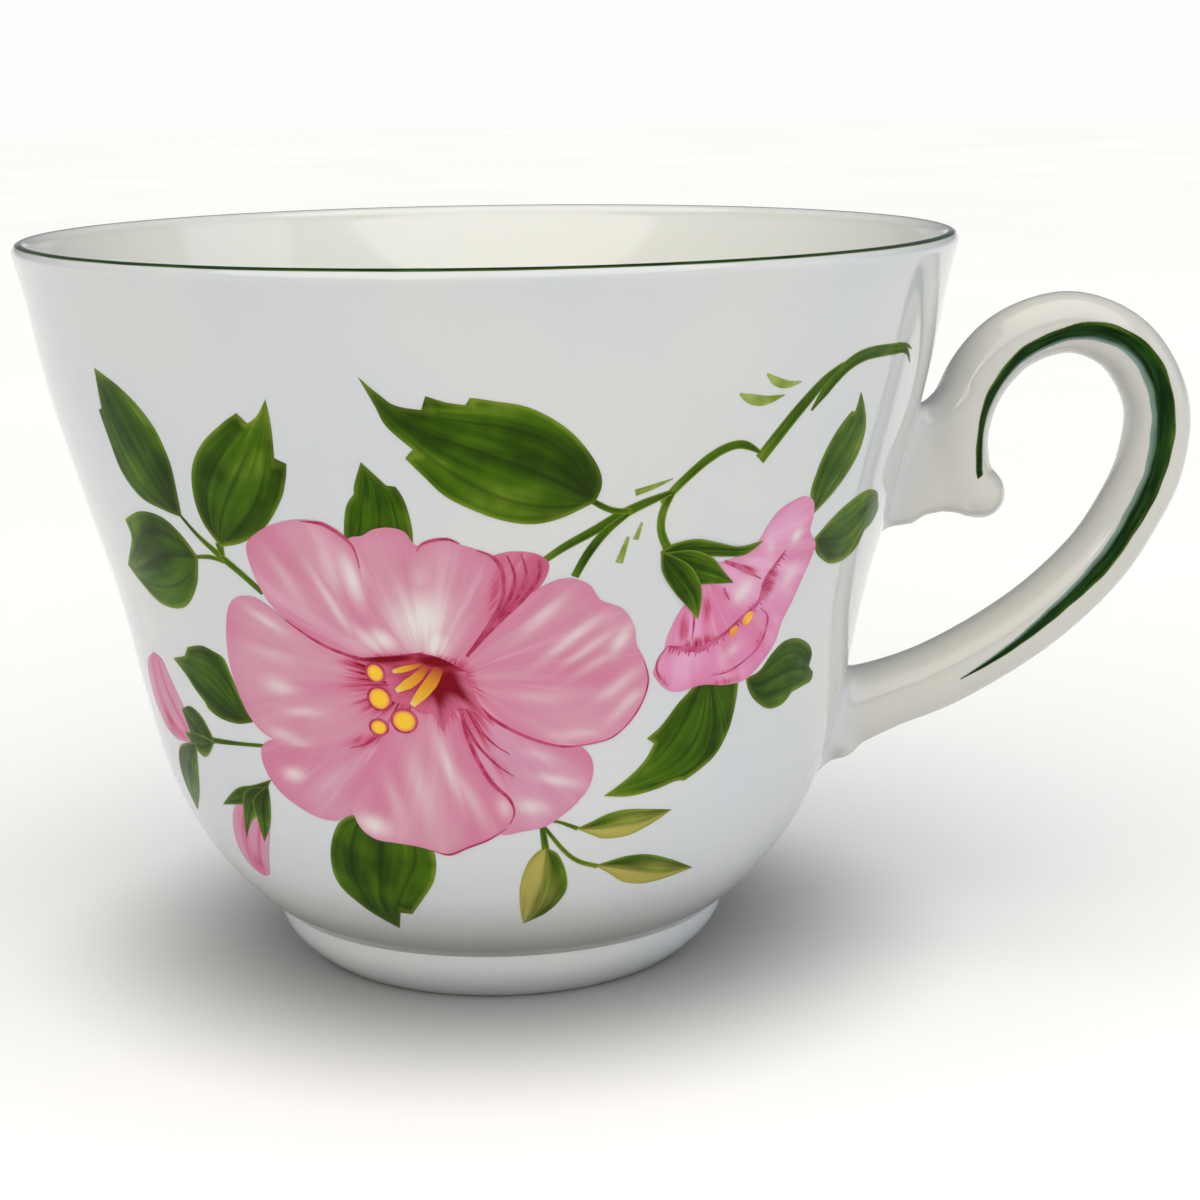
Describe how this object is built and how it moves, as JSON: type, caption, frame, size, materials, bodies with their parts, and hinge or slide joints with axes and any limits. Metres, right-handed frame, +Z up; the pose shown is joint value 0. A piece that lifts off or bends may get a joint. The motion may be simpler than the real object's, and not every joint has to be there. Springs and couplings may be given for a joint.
{
  "type": "teacup",
  "caption": "Flared porcelain teacup with a round belly, low foot ring, scrolled side handle, green enamel lip line and a pink hibiscus spray.",
  "frame": {"origin": "on the table plane under the middle of the whole object's box, so the bowl's own axis stands 11.9 mm towards -X from it", "axes": "+Z up along the bowl's axis, +X from the bowl towards the handle, and the side with the floral spray faces -Y"},
  "size_m": [0.1138, 0.0902, 0.0711],
  "materials": {
    "porcelain": "clear glossy glaze over fired white porcelain, unglazed on the foot ring's flat band",
    "green_enamel": "brushed dark green on-glaze enamel, glossy",
    "floral_enamel": "printed pink, crimson, yellow and leaf green on-glaze transfer, glossy"
  },
  "bodies": {
    "root": {"bowl": "porcelain", "foot_ring": "porcelain", "handle": "porcelain", "handle_upper_lute": "porcelain", "handle_lower_lute": "porcelain", "rim_line": "green_enamel", "handle_line_near": "green_enamel", "handle_line_far": "green_enamel", "floral_transfer": "floral_enamel"}
  },
  "joints": []
}
